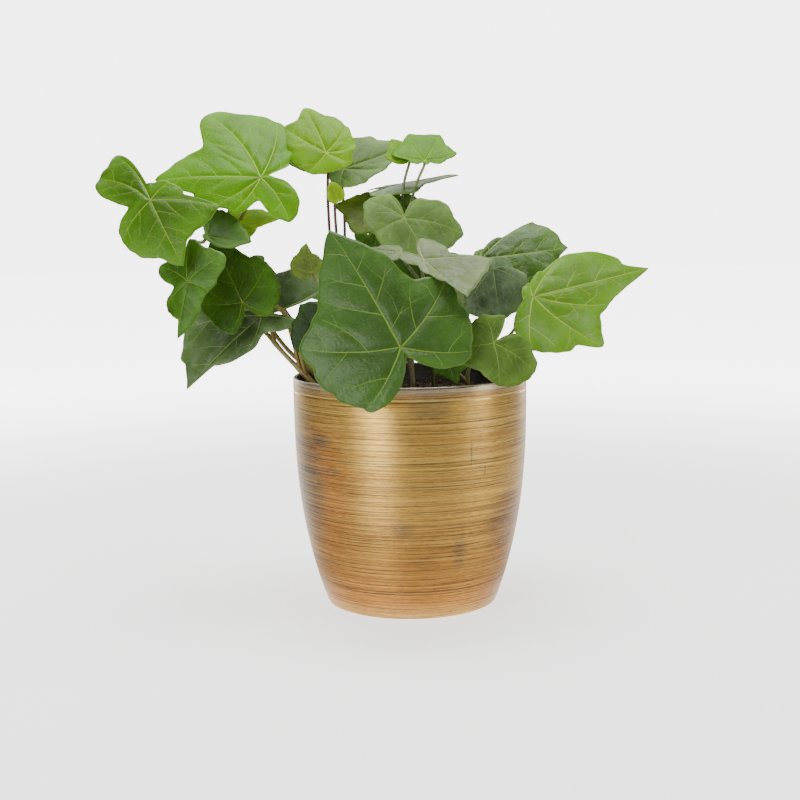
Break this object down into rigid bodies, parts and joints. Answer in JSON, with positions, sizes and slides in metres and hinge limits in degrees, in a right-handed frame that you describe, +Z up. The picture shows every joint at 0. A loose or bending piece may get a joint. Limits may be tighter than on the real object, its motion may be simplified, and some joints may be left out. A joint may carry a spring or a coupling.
{
  "type": "potted ivy",
  "caption": "Ivy with broad lobed leaves on rooted trailing shoots, standing in soil in a round straight-sided deco pot with a brushed gold finish",
  "frame": {"origin": "centre of the pot's flat base, on the surface it stands on", "axes": "+Z up along the pot's axis; -Y towards the side the picture shows; +X to the right of that view"},
  "size_m": [0.3216, 0.203, 0.2988],
  "materials": {
    "pot_gold": "hand-brushed gold and copper lacquer with fine turned lines, half gloss",
    "soil_brown": "crumbly potting soil, matt",
    "leaf_dark": "dark green ivy leaves with pale veins, waxy; green and red-brown petioles",
    "leaf_fresh": "fresh green ivy leaves with pale veins, waxy; green and red-brown petioles",
    "leaf_grey": "greyish green ivy leaves with pale veins and a silvery sheen; green petioles"
  },
  "bodies": {
    "root": {"pot": "pot_gold", "soil": "soil_brown", "shoot_left_low": "leaf_dark", "shoot_left_high": "leaf_fresh", "shoot_back_tall": "leaf_fresh", "shoot_centre": "leaf_grey", "shoot_front": "leaf_dark", "shoot_pale": "leaf_grey", "shoot_right": "leaf_grey", "shoot_right_low": "leaf_fresh", "shoot_back_left": "leaf_fresh", "shoot_back_middle": "leaf_dark", "shoot_back_low": "leaf_fresh", "shoot_back_right": "leaf_dark"}
  },
  "joints": []
}
